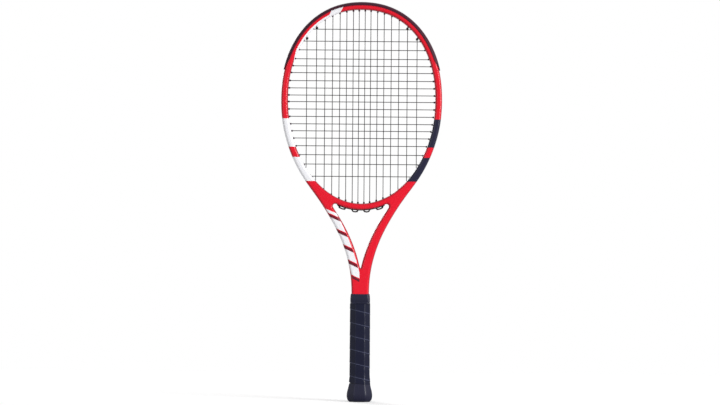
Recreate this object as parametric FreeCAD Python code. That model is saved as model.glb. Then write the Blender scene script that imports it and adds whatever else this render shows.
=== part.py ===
import FreeCAD, Part
import math
import os

from FreeCAD import Vector

# A strung tennis racket standing on its butt, in millimetres. Z runs up the handle to the
# head, X across the string bed, and the front of the racket faces -Y. The origin is the
# middle of the butt's resting face.

# ---- driving dimensions ---------------------------------------------------------------

# hoop: the inner edge is a full oval, half by half
hoop_centre_z = 516.8
hoop_half_width = 126.3
head_rise = 155.2
throat_drop = 177.1
head_fullness = 2.17
throat_fullness = 1.98

# moulded tube
tube_width = 11.6
beam_depth = 24.0
crown_radius = 4.8
tube_wall = 1.6
cavity_crown = 2.4

# shafts and throat
shaft_half_width = 15.2
shaft_bottom_z = 168.0
shoulder_end_z = 184.0
shaft_width_high = 13.7
shaft_width_low = 17.7
shaft_high_z = 325.0
shaft_low_z = 228.0
hoop_width_z = 430.0
throat_corner_radius = 4.0
throat_vee_radius = 0.8
bridge_height = 10.4
bridge_splay = 20.0
bridge_wall = 1.6
bridge_core_end = 10.0
wedge_rise = 2.5
wedge_drop = 1.5
wedge_foot_share = 0.6

# outer edge from the hoop's side (first) to the shaft (last): share of the way in from the
# hoop's side, and share of the way down from the hoop's centre to the shoulders' end
shoulder_shape = (
    (0.966, 0.143),
    (0.899, 0.236),
    (0.797, 0.328),
    (0.646, 0.422),
    (0.464, 0.514),
    (0.304, 0.607),
    (0.171, 0.700),
    (0.077, 0.793),
    (0.019, 0.886),
    (0.000, 0.964),
)

# string channel round the outside of the hoop
channel_depth = 3.0
channel_half_width = 4.9
channel_end_z = 326.0
channel_floor_wall = 1.0

# grommets
barrel_diameter = 3.2
barrel_tip_diameter = 3.0
barrel_bore = 1.75
barrel_reach = 2.8
barrel_least_reach = 0.3
barrel_lean = 0.35
barrel_root_inset = 0.2
strip_thickness = 1.0
grommet_clearance = 0.06
throat_strip_thickness = 1.5
throat_strip_half_width = 4.6
throat_collar_drop = 0.4

# bumper guard
bumper_thickness = 1.6
bumper_face_thickness = 0.8
bumper_lap = 3.6
bumper_end_z = 569.0
bumper_taper = 24.0
bumper_channel_half_width = 3.9
side_strip_gap = 0.6

# how finely the smooth edges are drawn
outline_steps = 46
outline_spans = 36
hoop_spans = 20
hoop_degrees = 15
throat_spans = 5
throat_steps = 9
least_turn = 0.0005
halvings = 50
tolerance = 0.001
overcut = 1.0

# strings
string_diameter = 1.3
weave_clearance = 0.16
weave_bend = 6.0
turn_bend = 1.2
mouth_bend = 1.5
throat_loop_drop = 2.8
throat_loop_bend = 2.1
main_offsets = (5.15, 15.0, 26.3, 37.8, 50.3, 63.3, 77.9, 94.5)
cross_heights = (
    638.4, 617.8, 602.8, 587.4, 575.3, 563.6, 549.9, 537.4, 525.2, 513.9,
    501.3, 488.6, 475.9, 463.9, 451.5, 438.3, 423.0, 407.0, 386.1,
)
bridge_mains = 4
knot_diameter = 3.4
knot_length = 2.0
knot_bore = 1.6
knot_gap = 0.8
knot_rounding = 0.6
string_tail = 6.0
channel_lane = 1.6
run_step = 9.0
bend_room_before = 0.9
bend_room_after = 0.45

# handle
leg_half_width = 13.2
leg_depth = 19.0
leg_bottom_z = 12.0
handle_width = 30.9
handle_depth = 26.2
handle_facet_share = 0.46
pallet_bottom_z = 7.0
pallet_joint_gap = 0.1
fit_clearance = 0.05

# grip
grip_thickness = 1.9
grip_bottom_z = 31.4
grip_top_step = 0.4
grip_flare = 1.1
tape_thickness = 0.3
tape_height = 14.5
collar_thickness = 1.35
collar_height = 16.5
collar_clearance = 0.1
collar_seat_gap = 0.2

# butt cap
cap_sleeve_wall = 0.9
cap_sleeve_top_z = 46.0
cap_profile = (
    (0.0, 1.2), (0.9, 2.9), (2.2, 4.4), (4.2, 5.6), (7.0, 6.4), (10.5, 6.6), (14.0, 6.4),
    (19.0, 5.3), (31.2, 2.4),
)
door_half_width = 11.0
door_half_depth = 8.0
door_thickness = 2.0
door_recess = 0.6
door_clearance = 0.15
door_flange = 1.5
staple_width = 8.0
staple_wire = 0.8
staple_leg = 2.4
staple_z = 38.5
tack_z = 37.0
tack_head = 3.2
tack_shank = 1.0
tack_head_thickness = 0.5
tack_length = 3.0

half_depth = beam_depth / 2
string_radius = string_diameter / 2
weave_swing = (string_diameter + weave_clearance) / 2
run_offset = -channel_depth + strip_thickness + turn_bend
side_half_width = hoop_half_width + tube_width
grip_top_z = shaft_bottom_z - grip_top_step
collar_bottom_z = shaft_bottom_z + collar_seat_gap


# ---- outlines --------------------------------------------------------------------------

def signed_power(value, power):
    return math.copysign(abs(value) ** power, value)


def hoop_edge(angle):
    """Point and outward normal of the hoop's inner edge, angle in degrees up from +X."""
    across = math.cos(math.radians(angle))
    along = math.sin(math.radians(angle))
    rise = head_rise if along >= 0 else throat_drop
    power = head_fullness if along >= 0 else throat_fullness
    share_x = signed_power(across, 2 / power)
    share_z = signed_power(along, 2 / power)
    point = Vector(hoop_half_width * share_x, 0, hoop_centre_z + rise * share_z)
    normal = Vector(
        signed_power(share_x, power - 1) / hoop_half_width,
        0,
        signed_power(share_z, power - 1) / rise,
    )
    normal.normalize()
    return point, normal


def hoop_point(angle, offset):
    point, normal = hoop_edge(angle)
    return point + normal * offset


def spaced(first, last, count):
    return [first + (last - first) * step / (count - 1) for step in range(count)]


def smooth_curve(points, closed=False):
    curve = Part.BSplineCurve()
    curve.interpolate(Points=points, PeriodicFlag=closed)
    return curve


def corner_arc(start, corner, finish):
    """Arc that turns a corner whose two legs are equally long."""
    incoming = (corner - start).normalize()
    outgoing = (finish - corner).normalize()
    half_turn = incoming.getAngle(outgoing) / 2
    if half_turn < least_turn:
        return Part.makeLine(start, finish)
    radius = (corner - start).Length / math.tan(half_turn)
    inward = (outgoing - incoming).normalize()
    middle = corner + inward * (radius / math.cos(half_turn) - radius)
    return Part.Arc(start, middle, finish).toShape()


def arc_edges(curve, spans):
    """A smooth curve drawn as tangent arcs, two to each of its spans."""
    edges = []
    places = spaced(curve.FirstParameter, curve.LastParameter, spans + 1)
    for low, high in zip(places, places[1:]):
        start = curve.value(low)
        finish = curve.value(high)
        leaving = curve.tangent(low)[0].normalize()
        arriving = curve.tangent(high)[0].normalize()
        span = finish - start
        reach = span.dot(leaving + arriving)
        spread = 2 * (1 - leaving.dot(arriving))
        if spread < least_turn ** 2:
            step = span.dot(span) / (2 * reach)
        else:
            step = (math.sqrt(reach ** 2 + spread * span.dot(span)) - reach) / spread
        first = start + leaving * step
        second = finish - arriving * step
        joint = (first + second) / 2
        edges.append(corner_arc(start, first, joint))
        edges.append(corner_arc(joint, second, finish))
    return edges


def hoop_curve(offset):
    points = [hoop_point(angle, offset) for angle in range(-180, 180, hoop_degrees)]
    return smooth_curve(points, closed=True)


def outer_curve():
    """Outer edge of the frame from the right shaft over the head to the left one."""
    straight = spaced(shaft_bottom_z, shoulder_end_z, 3)
    right = [Vector(shaft_half_width, 0, height) for height in straight]
    for across, down in reversed(shoulder_shape):
        x = shaft_half_width + across * (side_half_width - shaft_half_width)
        z = hoop_centre_z - down * (hoop_centre_z - shoulder_end_z)
        right.append(Vector(x, 0, z))
    right += [hoop_point(angle, tube_width) for angle in range(0, 90, hoop_degrees)]
    left = [Vector(-point.x, 0, point.z) for point in reversed(right)]
    head = hoop_point(90, tube_width)
    return smooth_curve(right + [Vector(0, 0, head.z)] + left)


OUTER = outer_curve()
OUTER_FIRST = OUTER.FirstParameter
OUTER_LAST = OUTER.LastParameter
OUTER_MIDDLE = (OUTER_FIRST + OUTER_LAST) / 2


def outer_normal(place):
    along = OUTER.tangent(place)[0]
    return Vector(along.z, 0, -along.x)


def outer_point(place, offset):
    return OUTER.value(place) + outer_normal(place) * offset


def outer_place(height):
    """Place on the outer edge's right half at a height below its widest part or above it."""
    low = OUTER_FIRST
    high = OUTER_MIDDLE
    for step in range(halvings):
        middle = (low + high) / 2
        if OUTER.value(middle).z < height:
            low = middle
        else:
            high = middle
    return low


def outline_curve(offset):
    """The whole outer edge moved outwards by an offset."""
    places = spaced(OUTER_FIRST, OUTER_LAST, outline_steps)
    return smooth_curve([outer_point(place, offset) for place in places])


def prism(face, half_width):
    """Flat face drawn in the string plane, made thick evenly to the front and the back."""
    solid = face.extrude(Vector(0, 2 * half_width, 0))
    solid.translate(Vector(0, -half_width, 0))
    return solid


def box_between(low, high):
    size = high - low
    return Part.makeBox(size.x, size.y, size.z, low)


def everything_above(height, side=0):
    """Box over the whole racket's upper part, or over its right (1) or left (-1) half."""
    reach = 2 * side_half_width
    left = 0 if side > 0 else -reach
    right = 0 if side < 0 else reach
    return box_between(
        Vector(left, -beam_depth, height), Vector(right, beam_depth, hoop_centre_z + reach))


def outline_face(offset):
    """Whole outside of the frame, grown by an offset and closed by a straight foot."""
    curve = outline_curve(offset)
    foot = Part.makeLine(curve.EndPoint, curve.StartPoint)
    return Part.Face(Part.Wire(arc_edges(curve, outline_spans) + [foot]))


def ring(inner_offset, outer_offset, half_width, foot_z, side=0):
    """Strip that follows the outer edge between two offsets from it, above a height."""
    inner = outline_curve(inner_offset)
    outer = outline_curve(outer_offset)
    edges = arc_edges(inner, outline_spans) + arc_edges(outer, outline_spans)
    edges.append(Part.makeLine(inner.StartPoint, outer.StartPoint))
    edges.append(Part.makeLine(outer.EndPoint, inner.EndPoint))
    face = Part.Face(Part.Wire(Part.__sortEdges__(edges)))
    return prism(face, half_width).common(everything_above(foot_z, side))


def hoop_face(offset):
    return Part.Face(Part.Wire(arc_edges(hoop_curve(offset), hoop_spans)))


# ---- frame -----------------------------------------------------------------------------

def shaft_width(height):
    share = (shaft_high_z - height) / (shaft_high_z - shaft_low_z)
    share = max(0.0, min(1.0, share))
    return shaft_width_high + (shaft_width_low - shaft_width_high) * share


def throat_edge_points():
    """Inner edge of the right shaft, from above the bridge down to where the shafts meet."""
    points = []
    place = outer_place(hoop_centre_z - throat_drop + bridge_height)
    step = (place - outer_place(shaft_low_z)) / throat_steps
    while True:
        height = OUTER.value(place).z
        point = outer_point(place, -shaft_width(height))
        if point.x < throat_vee_radius:
            break
        points.append(point)
        place -= step
    return points


def through_edges(solid, depth):
    """Edges that run straight from the front face of a prism to its back face."""
    return [
        edge for edge in solid.Edges
        if abs(edge.BoundBox.YLength - depth) < tolerance and edge.BoundBox.ZLength < tolerance
    ]


def on_middle(edge):
    return abs(edge.CenterOfMass.x) < tolerance


def throat_opening():
    """Open triangle between the shafts and the underside of the bridge."""
    right = throat_edge_points()
    left = [Vector(-point.x, 0, point.z) for point in reversed(right)]
    drop = (right[-2].z - right[-1].z) / (right[-2].x - right[-1].x) * right[-1].x
    vee = Vector(0, 0, right[-1].z - drop)
    edges = arc_edges(smooth_curve(right + [vee]), throat_spans)
    edges += arc_edges(smooth_curve([vee] + left), throat_spans)
    edges.append(Part.makeLine(left[-1], right[0]))
    opening = prism(Part.Face(Part.Wire(edges)), beam_depth)
    opening = opening.cut(prism(hoop_face(bridge_height), 2 * beam_depth))
    depth = 2 * beam_depth
    corners = [edge for edge in through_edges(opening, depth) if not on_middle(edge)]
    opening = opening.makeFillet(throat_corner_radius, corners)
    vees = [edge for edge in through_edges(opening, depth) if on_middle(edge)]
    return opening.makeFillet(throat_vee_radius, vees)


def face_edges(solid, depth, foot_z):
    """Edges of the front and back faces, without those along the foot."""
    found = []
    for edge in solid.Edges:
        box = edge.BoundBox
        flat = box.YLength < tolerance and abs(abs(box.YMin) - depth) < tolerance
        along_foot = box.ZMax < foot_z + tolerance
        if flat and not along_foot:
            found.append(edge)
    return found


def solid_blank():
    """Outside shape of hoop, bridge and shafts before it is hollowed and drilled."""
    blank = prism(outline_face(0.0), half_depth)
    blank = blank.cut(prism(hoop_face(0.0), beam_depth))
    blank = blank.cut(throat_opening())
    return blank.makeFillet(crown_radius, face_edges(blank, half_depth, shaft_bottom_z))


def cavity_depth_in(place):
    """How far inside the outer edge the cavity's far wall lies."""
    point = OUTER.value(place)
    share = (hoop_width_z - point.z) / (hoop_width_z - shaft_high_z)
    share = max(0.0, min(1.0, share))
    width = tube_width + (shaft_width(point.z) - tube_width) * share
    if point.z < shaft_high_z:
        width = min(width, abs(point.x))
    return width - tube_wall


def cavity_face():
    """Section of the space inside the hairpin tube, carried down through both legs' ends."""
    places = spaced(OUTER_FIRST, OUTER_LAST, outline_steps)
    outer = outline_curve(-channel_depth - channel_floor_wall)
    inner = smooth_curve([outer_point(place, -cavity_depth_in(place)) for place in places])
    left = [outer.EndPoint, inner.EndPoint]
    right = [inner.StartPoint, outer.StartPoint]
    edges = arc_edges(outer, outline_spans) + arc_edges(inner, outline_spans)
    for top in (left, right):
        base = [Vector(point.x, 0, leg_bottom_z - overcut) for point in top]
        edges += Part.makePolygon([top[0], base[0], base[1], top[1]]).Edges
    return Part.Face(Part.Wire(Part.__sortEdges__(edges)))


def tube_cavity():
    """Space inside the tube: full depth in hoop and shafts, shallower in the handle's legs."""
    half = half_depth - tube_wall
    foot_z = shaft_bottom_z + tube_wall
    upper = prism(cavity_face(), half).common(everything_above(foot_z))
    upper = upper.makeFillet(cavity_crown, face_edges(upper, half, foot_z))
    lower = prism(cavity_face(), leg_depth / 2 - tube_wall)
    return upper, lower


def legs():
    """Two legs of the hairpin that run down inside the handle."""
    low = Vector(-leg_half_width, -leg_depth / 2, leg_bottom_z)
    high = Vector(leg_half_width, leg_depth / 2, shaft_bottom_z)
    block = box_between(low, high)
    upright = [edge for edge in block.Edges if edge.BoundBox.ZLength > tolerance]
    return block.makeFillet(crown_radius, upright)


def channel():
    return ring(-channel_depth, channel_depth, channel_half_width, channel_end_z)


def throat_corner():
    """Upper corner of the throat, where a shaft's inner edge meets the bridge's underside."""
    underside = hoop_curve(bridge_height)
    low = outer_place(shaft_low_z)
    high = outer_place(hoop_centre_z - throat_drop + 2 * bridge_height)
    for step in range(halvings):
        middle = (low + high) / 2
        point = outer_point(middle, -shaft_width(OUTER.value(middle).z))
        nearest = underside.value(underside.parameter(point))
        if point.z < nearest.z:
            low = middle
        else:
            high = middle
    return outer_point(low, -shaft_width(OUTER.value(low).z))


def bridge_zone():
    """Wedge that parts the bridge from the hairpin tube, from throat corner to hoop."""
    corner = throat_corner()
    lean = math.radians(bridge_splay)
    top = corner + Vector(math.sin(lean), 0, math.cos(lean)) * (wedge_rise * bridge_height)
    foot_z = hoop_centre_z - throat_drop - wedge_drop * bridge_height
    right = [Vector(corner.x * wedge_foot_share, 0, foot_z), corner, top]
    left = [Vector(-point.x, 0, point.z) for point in reversed(right)]
    loop = right + left
    return prism(Part.Face(Part.makePolygon(loop + loop[:1])), beam_depth)


def bridge_core():
    """Foam block that the bridge is moulded round, a wall's thickness inside it."""
    reach = throat_corner().x - bridge_core_end
    half = half_depth - bridge_wall
    band = prism(hoop_face(bridge_height - bridge_wall), half)
    band = band.cut(prism(hoop_face(bridge_wall), beam_depth))
    near = box_between(
        Vector(-reach, -beam_depth, shaft_bottom_z), Vector(reach, beam_depth, hoop_centre_z))
    core = band.common(near)
    lengthways = [edge for edge in core.Edges if edge.BoundBox.XLength > reach / 2]
    return core.makeFillet(cavity_crown, lengthways)


# ---- string holes ----------------------------------------------------------------------

def depth_at(point):
    """Distance of a point outside (+) or inside (-) the outer edge, and its place there."""
    place = OUTER.parameter(point)
    return (point - OUTER.value(place)).dot(outer_normal(place)), place


def march(start, heading, offset):
    """First point from start along heading that lies at an offset from the outer edge."""
    low = 0.0
    high = 4 * tube_width
    for step in range(halvings):
        middle = (low + high) / 2
        if depth_at(start + heading * middle)[0] < offset:
            low = middle
        else:
            high = middle
    return start + heading * low


def hole_mouth(angle, string_heading):
    """Mouth and axis of a hole: the axis leans from square across the tube to the string."""
    point, normal = hoop_edge(angle)
    heading = (normal + string_heading * barrel_lean).normalize()
    slant = heading.getAngle(string_heading)
    least = mouth_bend * math.tan(slant / 2) + barrel_least_reach
    reach = max(least, barrel_reach * math.cos(slant) ** 6)
    return point - heading * reach, heading


def solve_edge(position, string_heading, low_angle, high_angle):
    """Hoop angle where a string line meets the mouth of its grommet."""
    upright = string_heading.x == 0

    def miss(angle):
        mouth = hole_mouth(angle, string_heading)[0]
        return (mouth.x if upright else mouth.z) - position

    rising = miss(high_angle) > miss(low_angle)
    low = low_angle
    high = high_angle
    for step in range(halvings):
        middle = (low + high) / 2
        if (miss(middle) < 0) == rising:
            low = middle
        else:
            high = middle
    return (low + high) / 2


class Hole:
    """One string hole: its mouth inside the hoop, its axis, and where it comes out."""

    def __init__(self, mouth, heading, string_heading):
        self.mouth = mouth
        self.heading = heading
        slant = heading.getAngle(string_heading)
        self.tip = mouth + heading * (mouth_bend * math.tan(slant / 2))
        self.floor = march(mouth, heading, -channel_depth)
        self.rail = march(mouth, heading, -channel_depth + strip_thickness)
        self.run = march(mouth, heading, run_offset)
        self.place = depth_at(self.run)[1]

    def cylinder(self, diameter, start, finish):
        return Part.makeCylinder(diameter / 2, (finish - start).Length, start, self.heading)

    def drill(self):
        return self.cylinder(barrel_diameter + 2 * grommet_clearance, self.mouth, self.run)

    def barrel(self):
        thick_start = self.mouth + self.heading * barrel_reach
        thick_end = self.rail - self.heading * barrel_root_inset
        thick = self.cylinder(barrel_diameter, thick_start, thick_end)
        tip = Part.makeCone(
            barrel_tip_diameter / 2, barrel_diameter / 2,
            (thick_start - self.tip).Length, self.tip, self.heading,
        )
        return [thick, tip]

    def bore(self):
        return self.cylinder(barrel_bore, self.tip - self.heading, self.run + self.heading)


class BridgeHole(Hole):
    """A hole straight down through the bridge, whose string turns below the throat strip."""

    def __init__(self, position):
        self.heading = Vector(0, 0, -1)
        self.mouth = self.below(position, 0.0) - self.heading * barrel_reach
        self.tip = self.mouth
        self.floor = self.below(position, bridge_height)
        self.rail = self.below(position, bridge_height + throat_strip_thickness)
        self.run = self.rail + self.heading * throat_loop_drop

    def collar(self):
        """Rim that stands down from the strip round the string."""
        start = self.rail - self.heading * (throat_strip_thickness / 2)
        return self.cylinder(barrel_diameter, start, self.rail + self.heading * throat_collar_drop)

    def below(self, position, offset):
        """Point of the hoop's lower edge, moved out by an offset, under a string."""
        low = -90.0
        high = 0.0
        for step in range(halvings):
            middle = (low + high) / 2
            if hoop_point(middle, offset).x < abs(position):
                low = middle
            else:
                high = middle
        return Vector(position, 0, hoop_point(low, offset).z)


def hoop_hole(angle, string_heading):
    mouth, heading = hole_mouth(angle, string_heading)
    return Hole(mouth, heading, string_heading)


def main_holes(position):
    """Head hole and throat hole of one main string."""
    up = Vector(0, 0, 1)
    down = Vector(0, 0, -1)
    side = 0 if position > 0 else 180
    head = hoop_hole(solve_edge(position, up, 90, side), up)
    if abs(position) < main_offsets[bridge_mains - 1] + tolerance:
        return head, BridgeHole(position)
    low_side = 0 if position > 0 else -180
    return head, hoop_hole(solve_edge(position, down, -90, low_side), down)


def cross_holes(height):
    """Left hole and right hole of one cross string."""
    right = Vector(1, 0, 0)
    left = Vector(-1, 0, 0)
    turn = 89 if height > hoop_centre_z else -89
    right_angle = solve_edge(height, right, 0, turn)
    return hoop_hole(180 - right_angle, left), hoop_hole(right_angle, right)


MAIN_POSITIONS = [-offset for offset in reversed(main_offsets)] + list(main_offsets)
MAINS = [main_holes(position) for position in MAIN_POSITIONS]
CROSSES = [cross_holes(height) for height in cross_heights]
BRIDGE_HOLES = [foot for head, foot in MAINS if isinstance(foot, BridgeHole)]
HOOP_HOLES = [head for head, foot in MAINS]
HOOP_HOLES += [foot for head, foot in MAINS if not isinstance(foot, BridgeHole)]
HOOP_HOLES += [hole for pair in CROSSES for hole in pair]


def drills():
    return Part.makeCompound([hole.drill() for hole in HOOP_HOLES + BRIDGE_HOLES])


# ---- grommets and bumper ---------------------------------------------------------------

def with_barrels(strip, holes):
    pieces = []
    for hole in holes:
        pieces += hole.barrel()
    joined = strip.multiFuse(pieces)
    return joined.cut(Part.makeCompound([hole.bore() for hole in holes]))


def bumper_taper_cut():
    """Two wedges that slope the bumper's ends off towards the tube's outer edge."""
    tip = outer_point(outer_place(bumper_end_z), bumper_thickness)
    shoulder = outer_point(outer_place(bumper_end_z + bumper_taper), -bumper_lap - overcut)
    inward = Vector(-2 * tube_width, 0, 0)
    right = [tip, shoulder, shoulder + inward, tip + inward]
    left = [Vector(-point.x, 0, point.z) for point in right]
    return [
        prism(Part.Face(Part.makePolygon(loop + loop[:1])), beam_depth) for loop in (right, left)
    ]


def bumper_guard(blank):
    """Head guard: a shell lapping the tube's outside, with a string channel and barrels."""
    grown = prism(outline_face(bumper_thickness), half_depth + bumper_face_thickness)
    crown = crown_radius + bumper_face_thickness
    grown = grown.makeFillet(
        crown, face_edges(grown, half_depth + bumper_face_thickness, shaft_bottom_z))
    keep = ring(-bumper_lap, 2 * bumper_thickness, beam_depth, bumper_end_z)
    shell = grown.common(keep).cut(blank).cut(Part.makeCompound(bumper_taper_cut()))
    block = ring(
        -channel_depth, bumper_thickness, channel_half_width - grommet_clearance, bumper_end_z)
    slot = ring(
        -channel_depth + strip_thickness, 2 * bumper_thickness, bumper_channel_half_width,
        shaft_bottom_z)
    guard = shell.fuse(block).cut(slot)
    holes = [hole for hole in HOOP_HOLES if hole.floor.z > bumper_end_z]
    return with_barrels(guard, holes)


def side_grommets(side):
    """Flat strip in the channel of one side, with the barrels of its string holes."""
    strip = ring(
        -channel_depth, -channel_depth + strip_thickness, channel_half_width - grommet_clearance,
        channel_end_z + side_strip_gap, side)
    strip = strip.cut(everything_above(bumper_end_z - side_strip_gap))
    holes = [hole for hole in HOOP_HOLES if hole.floor.z < bumper_end_z and hole.mouth.x * side > 0]
    return with_barrels(strip, holes)


def throat_grommets():
    """Strip glued under the bridge, with the barrels of the middle strings."""
    reach = main_offsets[bridge_mains - 1] + barrel_diameter
    outer = prism(hoop_face(bridge_height + throat_strip_thickness), throat_strip_half_width)
    below = box_between(
        Vector(-reach, -beam_depth, shaft_bottom_z), Vector(reach, beam_depth, hoop_centre_z))
    strip = outer.common(below).cut(prism(hoop_face(bridge_height), beam_depth))
    collars = [hole.collar() for hole in BRIDGE_HOLES]
    return with_barrels(strip.multiFuse(collars), BRIDGE_HOLES)


# ---- strings ---------------------------------------------------------------------------

def rounded_path(points, bends):
    """Straight runs joined by tangent arcs, one bend radius for each inner point."""
    edges = []
    last = points[0]
    for index in range(1, len(points) - 1):
        corner = points[index]
        incoming = (corner - points[index - 1]).normalize()
        outgoing = (points[index + 1] - corner).normalize()
        half_turn = incoming.getAngle(outgoing) / 2
        if half_turn < least_turn:
            continue
        room_before = (corner - last).Length * bend_room_before
        room_after = (points[index + 1] - corner).Length * bend_room_after
        trim = min(bends[index] * math.tan(half_turn), room_before, room_after)
        start = corner - incoming * trim
        finish = corner + outgoing * trim
        edges.append(Part.makeLine(last, start))
        edges.append(corner_arc(start, corner, finish))
        last = finish
    edges.append(Part.makeLine(last, points[-1]))
    return Part.Wire(edges)


def string_solid(points, bends):
    path = rounded_path(points, bends)
    heading = points[1] - points[0]
    profile = Part.Wire([Part.makeCircle(string_radius, points[0], heading)])
    return path.makePipe(Part.Face(profile))


class Route:
    """Points of one string with the bend radius at each."""

    def __init__(self):
        self.points = []
        self.bends = []

    def add(self, point, bend):
        self.points.append(point)
        self.bends.append(bend)

    def solid(self):
        return string_solid(self.points, self.bends)


def over_or_under(main_index, cross_index):
    return 1 if (main_index + cross_index) % 2 else -1


def main_passes(main_index):
    """Points where a main goes over or under its crosses, from the head down."""
    x = MAIN_POSITIONS[main_index]
    passes = []
    for cross_index, height in enumerate(cross_heights):
        left, right = CROSSES[cross_index]
        if left.mouth.x + string_radius < x < right.mouth.x - string_radius:
            swing = weave_swing * over_or_under(main_index, cross_index)
            passes.append(Vector(x, swing, height))
    return passes


def add_main(route, main_index, upward):
    """One main from its lower mouth to its upper one, or back, woven past every cross."""
    head, foot = MAINS[main_index]
    passes = main_passes(main_index)
    ends = [(foot.mouth, mouth_bend), (head.mouth, mouth_bend)]
    if upward:
        passes.reverse()
    else:
        ends.reverse()
    route.add(*ends[0])
    for point in passes:
        route.add(point, weave_bend)
    route.add(*ends[1])


def add_cross(route, cross_index, rightward):
    left, right = CROSSES[cross_index]
    height = cross_heights[cross_index]
    ends = [(left.mouth, mouth_bend), (right.mouth, mouth_bend)]
    passes = []
    for main_index, x in enumerate(MAIN_POSITIONS):
        if left.mouth.x + string_radius < x < right.mouth.x - string_radius:
            swing = -weave_swing * over_or_under(main_index, cross_index)
            passes.append(Vector(x, swing, height))
    if not rightward:
        passes.reverse()
        ends.reverse()
    route.add(*ends[0])
    for point in passes:
        route.add(point, weave_bend)
    route.add(*ends[1])


def lane_between(first, second, side):
    """Sideways place of a run in the channel: aside if another string's hole is on its way."""
    low = min(first.place, second.place)
    high = max(first.place, second.place)
    crowded = any(low + tolerance < hole.place < high - tolerance for hole in HOOP_HOLES)
    return side * channel_lane if crowded else 0.0


def add_run(route, first, second, side):
    """Out of one hoop hole, along the channel and to the next hole."""
    lane = lane_between(first, second, side)
    route.add(first.run, turn_bend)
    count = int((second.run - first.run).Length / run_step) + 3
    for place in spaced(first.place, second.place, count)[1:-1]:
        route.add(outer_point(place, run_offset) + Vector(0, lane, 0), weave_bend)
    route.add(second.run, turn_bend)


def add_tail(route, hole, towards, leaving):
    """Cut end of a string, lying in the channel beside its hole."""
    share = string_tail / (towards.run - hole.run).Length
    place = hole.place + (towards.place - hole.place) * share
    end = (outer_point(place, run_offset), weave_bend)
    turn = (hole.run, turn_bend)
    for point, bend in ((turn, end) if leaving else (end, turn)):
        route.add(point, bend)


def add_throat_loop(route, first, second):
    route.add(first.run, throat_loop_bend)
    route.add(second.run, throat_loop_bend)


def main_string():
    """All sixteen mains in one string, from the left outer one to the right outer one."""
    route = Route()
    count = len(MAINS)
    add_tail(route, MAINS[0][0], MAINS[1][0], leaving=False)
    for index in range(count):
        upward = index % 2 == 1
        add_main(route, index, upward)
        if index == count - 1:
            break
        end = 0 if upward else 1
        first = MAINS[index][end]
        second = MAINS[index + 1][end]
        if isinstance(first, BridgeHole):
            add_throat_loop(route, first, second)
        else:
            add_run(route, first, second, -1)
    add_tail(route, MAINS[-1][0], MAINS[-2][0], leaving=True)
    return route.solid()


def cross_string():
    """All nineteen crosses in one string, from the head down to the throat."""
    route = Route()
    count = len(CROSSES)
    add_tail(route, CROSSES[0][0], CROSSES[1][0], leaving=False)
    for index in range(count):
        rightward = index % 2 == 0
        add_cross(route, index, rightward)
        if index == count - 1:
            break
        end = 1 if rightward else 0
        add_run(route, CROSSES[index][end], CROSSES[index + 1][end], 1)
    last_end = 1 if count % 2 else 0
    add_tail(route, CROSSES[-1][last_end], CROSSES[-2][last_end], leaving=True)
    return route.solid()


def knot(main_index):
    """Tie-off knot drawn tight round a main just inside its grommet at the head."""
    mouth = MAINS[main_index][0].mouth
    heading = (main_passes(main_index)[0] - mouth).normalize()
    start = mouth + heading * knot_gap
    lump = Part.makeCylinder(knot_diameter / 2, knot_length, start, heading)
    lump = lump.makeFillet(knot_rounding, lump.Edges)
    bore = Part.makeCylinder(knot_bore / 2, 3 * knot_length, start - heading * knot_length, heading)
    return lump.cut(bore)


# ---- handle ----------------------------------------------------------------------------

def octagon(width, depth, height):
    """Handle outline: flats front and back, narrower flats at the sides, bevels between."""
    flat = width * handle_facet_share / 2
    side = depth * handle_facet_share / 2
    corners = [
        (flat, -depth / 2), (width / 2, -side), (width / 2, side), (flat, depth / 2),
        (-flat, depth / 2), (-width / 2, side), (-width / 2, -side), (-flat, -depth / 2),
    ]
    points = [Vector(x, y, height) for x, y in corners]
    return Part.makePolygon(points + points[:1])


def octagon_prism(margin, low, high):
    """Straight handle-shaped prism, larger than the pallets by a margin all round."""
    wire = octagon(handle_width + 2 * margin, handle_depth + 2 * margin, low)
    return Part.Face(wire).extrude(Vector(0, 0, high - low))


def pallet(side):
    """Half of the moulded handle: a shell over one face of both legs."""
    block = octagon_prism(0.0, pallet_bottom_z, shaft_bottom_z)
    joint = pallet_joint_gap / 2
    reach = handle_depth
    if side < 0:
        half = box_between(Vector(-reach, -reach, 0), Vector(reach, -joint, hoop_centre_z))
    else:
        half = box_between(Vector(-reach, joint, 0), Vector(reach, reach, hoop_centre_z))
    return block.common(half).cut(legs())


def grip():
    """Cushioned strip wound round the pallets, thicker over the cap's sleeve."""
    outer = grip_thickness + fit_clearance
    sleeve_outer = cap_sleeve_wall + 2 * fit_clearance
    body = octagon_prism(outer, cap_sleeve_top_z, grip_top_z)
    widths = ((outer + grip_flare, grip_bottom_z), (outer, cap_sleeve_top_z))
    wires = [
        octagon(handle_width + 2 * margin, handle_depth + 2 * margin, height)
        for margin, height in widths
    ]
    flare = Part.makeLoft(wires, True, True)
    body = body.fuse(flare).removeSplitter()
    body = body.cut(octagon_prism(fit_clearance, 0, hoop_centre_z))
    return body.cut(octagon_prism(sleeve_outer, 0, cap_sleeve_top_z + fit_clearance))


def shaft_prism(margin, low, high):
    """Straight length of the shafts' common outside, grown by a margin."""
    block = box_between(
        Vector(-shaft_half_width - margin, -half_depth - margin, low),
        Vector(shaft_half_width + margin, half_depth + margin, high))
    upright = [edge for edge in block.Edges if edge.BoundBox.ZLength > tolerance]
    return block.makeFillet(crown_radius + margin, upright)


def shaft_tube(inner_margin, outer_margin, low, high):
    inside = shaft_prism(inner_margin, low - overcut, high + overcut)
    return shaft_prism(outer_margin, low, high).cut(inside)


def finishing_tape():
    top = collar_bottom_z + tape_height
    return shaft_tube(fit_clearance, fit_clearance + tape_thickness, collar_bottom_z, top)


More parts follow.
